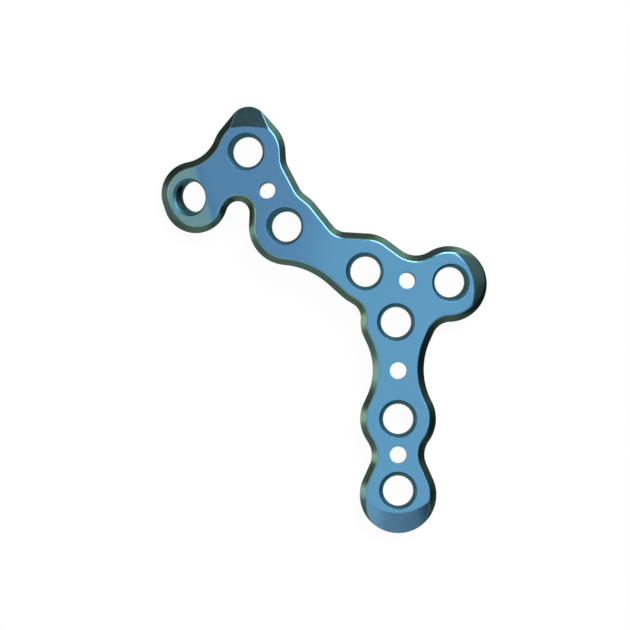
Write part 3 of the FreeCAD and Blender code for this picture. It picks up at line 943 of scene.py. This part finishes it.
plate.data.materials.append(anodised_titanium())
print("its finish has", len(plate.data.materials[0].node_tree.nodes), "nodes")

# %% [markdown]
# ## The camera
#
# The camera looks straight down on the leg from far away with a long lens, as for a catalogue. So
# the drawing's plane keeps its shape in the picture, and one pixel is the same length all over it.
# The end hole's place in the picture says where the camera stands.

# %% The camera
PICTURE = 630
PIXEL = 0.12
END_HOLE_PIXEL = (398.05, 490.5)
CAMERA_DISTANCE = 1500.0
SENSOR = 36.0
CLIP_START = 0.01

view_x = (PICTURE / 2 - END_HOLE_PIXEL[0]) * PIXEL
view_y = (END_HOLE_PIXEL[1] - PICTURE / 2) * PIXEL
drawing_turn = Matrix(drawing_axes.tolist()).to_4x4()

camera = bpy.data.objects.new("camera", bpy.data.cameras.new("camera"))
bpy.context.scene.collection.objects.link(camera)
camera.matrix_world = drawing_turn
camera.location = to_part(np.array([view_x, view_y, CAMERA_DISTANCE]))
camera.data.sensor_width = SENSOR
camera.data.lens = SENSOR * (CAMERA_DISTANCE + THICKNESS) / (PICTURE * PIXEL)
camera.data.clip_start = CLIP_START
bpy.context.scene.camera = camera
print("the camera's lens has", round(camera.data.lens), "mm")

# %% [markdown]
# ## The sheet and the daylight
#
# The plate lies on a small white sheet in plain, even daylight. The sheet shows mostly a glow of its
# own and a little of its matt paper, so the ground of the picture is nearly white all over and still
# keeps the plate's faint shadow.

# %% The sheet and the daylight
WHITE = (1.0, 1.0, 1.0, 1.0)
SHEET_WHITE = (0.9, 0.9, 0.9, 1.0)
SHEET_SIZE = (0.043, 0.055)
SHEET_DEPTH = 0.00002
SHEET_GLOW = 0.96
DAYLIGHT = 0.5


def white_for_the_camera(tree, share, other):
    """Mixes a plain white of strength 1 into what the camera, reflections and glass see.

    share says how much of it they see of a surface. It is None for a world, which is white to them.
    """
    path = {name: node(tree, "ShaderNodeLightPath", {}, {}, name)
            for name in ("Is Camera Ray", "Is Glossy Ray", "Is Transmission Ray")}
    seen = path["Is Camera Ray"] + path["Is Glossy Ray"] + path["Is Transmission Ray"]
    white_kind = "ShaderNodeBackground" if share is None else "ShaderNodeEmission"
    white = node(tree, white_kind, {}, {"Color": WHITE, "Strength": 1.0})
    factor = seen if share is None else seen * share
    return node(tree, "ShaderNodeMixShader", {}, {0: factor, 1: other, 2: white})


def flat_sheet(name, width, tall, place=(0.0, 0.0, 0.0)):
    """A flat rectangle with its middle at a place. Lengths are in metres."""
    bpy.ops.mesh.primitive_plane_add(size=1.0, location=place)
    thing = bpy.context.object
    thing.name = name
    thing.scale = (width, tall, 1.0)
    return thing


world = bpy.data.worlds.new("studio")
bpy.context.scene.world = world
sky = blank_tree(world)
daylight = node(sky, "ShaderNodeBackground", {}, {"Color": WHITE, "Strength": DAYLIGHT})
node(sky, "ShaderNodeOutputWorld", {}, {"Surface": white_for_the_camera(sky, None, daylight)})

table_paint = bpy.data.materials.new("white_table")
paint = blank_tree(table_paint)
matt = node(paint, "ShaderNodeBsdfDiffuse", {}, {"Color": SHEET_WHITE})
node(paint, "ShaderNodeOutputMaterial", {}, {"Surface": white_for_the_camera(paint, SHEET_GLOW, matt)})

table = flat_sheet("table", *SHEET_SIZE, place=(0.0, 0.0, -SHEET_DEPTH))
table.data.materials.append(table_paint)
print("the sheet measures", [round(side * 1000) for side in SHEET_SIZE], "mm")

# %% [markdown]
# ## What the metal sees
#
# Polished metal shows its surroundings, so most of the picture is made by what stands round the
# plate, as a photographer does it for shiny things. The bevels slant at 45 degrees and so look
# sideways, past the edge of the sheet, at a low grey wall that goes all the way round: bright at the
# left, dark at the right. The bends and ramps look higher up, at a few grey cards. The steep wall of
# the tab's hole looks down, at a small dark card on the table. One large soft box at the upper right
# draws the fine bright line along the rounded edge between the face and its bevel.

# %% Glowing paper that only reflections show
CARD_DISTANCE = 300.0
BRIGHTEST = 4.0


def aim(thing, heading, height, distance):
    """Puts a thing at a heading and a height in degrees over the drawing, facing the plate."""
    way = unit(heading) * math.cos(math.radians(height))
    out = np.array([way.real, way.imag, math.sin(math.radians(height))])
    middle = np.array([view_x, view_y, 0.0])
    thing.location = to_part(middle + out * distance)
    thing.rotation_euler = Vector(drawing_axes @ out).to_track_quat("Z", "Y").to_euler()


def paper(name, levels):
    """Paper that glows by itself, with a level for each heading round the thing's own upright.

    levels holds pairs of a share of the whole turn, from 0 to 1, and the brightness there.
    """
    material = bpy.data.materials.new(name)
    tree = blank_tree(material)
    stops = [(share, grey(level / BRIGHTEST)) for share, level in levels]
    place = node(tree, "ShaderNodeTexCoord", {}, {}, "Object")
    turn = node(tree, "ShaderNodeTexGradient", {"gradient_type": "RADIAL"}, {"Vector": place}, "Fac")
    colour = by_value(tree, turn, stops)
    glow = node(tree, "ShaderNodeEmission", {}, {"Color": colour, "Strength": BRIGHTEST})
    node(tree, "ShaderNodeOutputMaterial", {}, {"Surface": glow})
    return material


def only_reflected(thing, levels):
    """Hides a thing of the studio from all but reflections and gives it its paper."""
    thing.visible_camera = False
    thing.visible_diffuse = False
    thing.visible_shadow = False
    thing.data.materials.append(paper(thing.name, levels))
    print("reflections show", thing.name)


# %% Cards and round walls
LOW_CARD_HEIGHT = 0.00003
WALL_SIDES = 96


def card(name, heading, height, half_width, half_height, level):
    """A plain grey card that spans some degrees to both sides of its heading and height."""
    width, tall = (2 * CARD_DISTANCE * math.tan(math.radians(half)) / 1000
                   for half in (half_width, half_height))
    thing = flat_sheet(name, width, tall)
    aim(thing, heading, height, CARD_DISTANCE)
    only_reflected(thing, [(0.0, level), (1.0, level)])


def low_card(name, spot, width, tall, level):
    """A small grey card on the table, which only the walls of a hole above it show. Sizes in mm."""
    across, up, _ = to_part(np.array([spot.real, spot.imag, -fall_at_tab]))
    thing = flat_sheet(name, width / 1000, tall / 1000, place=(across, up, LOW_CARD_HEIGHT))
    only_reflected(thing, [(0.0, level), (1.0, level)])


def wall_round(name, low, high, levels):
    """A round wall between two heights in mm, square to the drawing, with a level for each heading.

    The gradient starts at heading 180 and goes round once, so a heading h lies at the share
    (h + 180) / 360.
    """
    bpy.ops.mesh.primitive_cylinder_add(vertices=WALL_SIDES, radius=CARD_DISTANCE / 1000, depth=1.0,
                                        end_fill_type="NOTHING")
    thing = bpy.context.object
    thing.name = name
    thing.matrix_world = drawing_turn @ Matrix.Diagonal((1, 1, (high - low) / 1000, 1))
    thing.location = to_part(np.array([view_x, view_y, (low + high) / 2]))
    around = sorted(((heading + 180) % 360 / 360, level) for heading, level in levels.items())
    seam = around[0][1]
    only_reflected(thing, [(0.0, seam), *around, (1.0, seam)])


# %% The walls and the cards
WALL_LEVELS = {
    0: 0.08, 15: 0.3, 30: 0.7, 60: 2.6, 80: 0.9, 95: 0.5, 120: 0.45, 150: 0.25, 164: 0.8,
    174: 4.0, 183: 4.0, 194: 1.2, 212: 0.8, 240: 1.2, 270: 0.85, 283: 0.2, 297: 0.07, 330: 0.07}
LOW_LEVELS = WALL_LEVELS | {164: 0.5, 174: 1.9, 183: 1.9}

# Each card's name, heading, height, half width and half height in degrees, and level.
CARDS = [
    ("head_card", 163.0, 60.5, 27.0, 12.0, 0.7),
    ("nose_card", 110.0, 41.0, 17.0, 13.0, 0.12),
    ("wing_card", 22.0, 32.0, 24.0, 21.0, 0.26),
    ("wing_side_card", 348.0, 25.0, 14.0, 12.0, 0.08),
    ("right_card", 323.5, 44.0, 34.0, 15.0, 0.16),
    ("leg_card", 276.0, 52.0, 13.0, 10.0, 0.6),
]

wall_round("wall", -50.0, 72.0, WALL_LEVELS)
wall_round("low_wall", -160.0, -50.0, LOW_LEVELS)
for row in CARDS:
    card(*row)
low_card("tab_card", plan("tab") + 3.2 * unit(330.0), 6.5, 6.8, 0.02)
print("the metal sees a wall with", len(WALL_LEVELS), "levels and", len(CARDS) + 1, "cards")

# %% The soft box
def soft_box(name, heading, height, distance, width, tall, power):
    """A rectangular lamp that faces the plate. Lengths are in mm and the power in W."""
    lamp = bpy.data.lights.new(name, "AREA")
    lamp.shape = "RECTANGLE"
    lamp.size = width / 1000
    lamp.size_y = tall / 1000
    lamp.energy = power
    thing = bpy.data.objects.new(name, lamp)
    bpy.context.scene.collection.objects.link(thing)
    aim(thing, heading, height, distance)
    thing.visible_camera = False
    print("the soft box gives", power, "W from", distance, "mm away")


soft_box("soft_box", heading=62.0, height=50.0, distance=310.0, width=275.0, tall=175.0, power=1.1)

# %% [markdown]
# ## The end
#
# The picture's colours are shown plainly, as they are mixed.

# %% Finish
bpy.context.scene.view_settings.view_transform = "Standard"
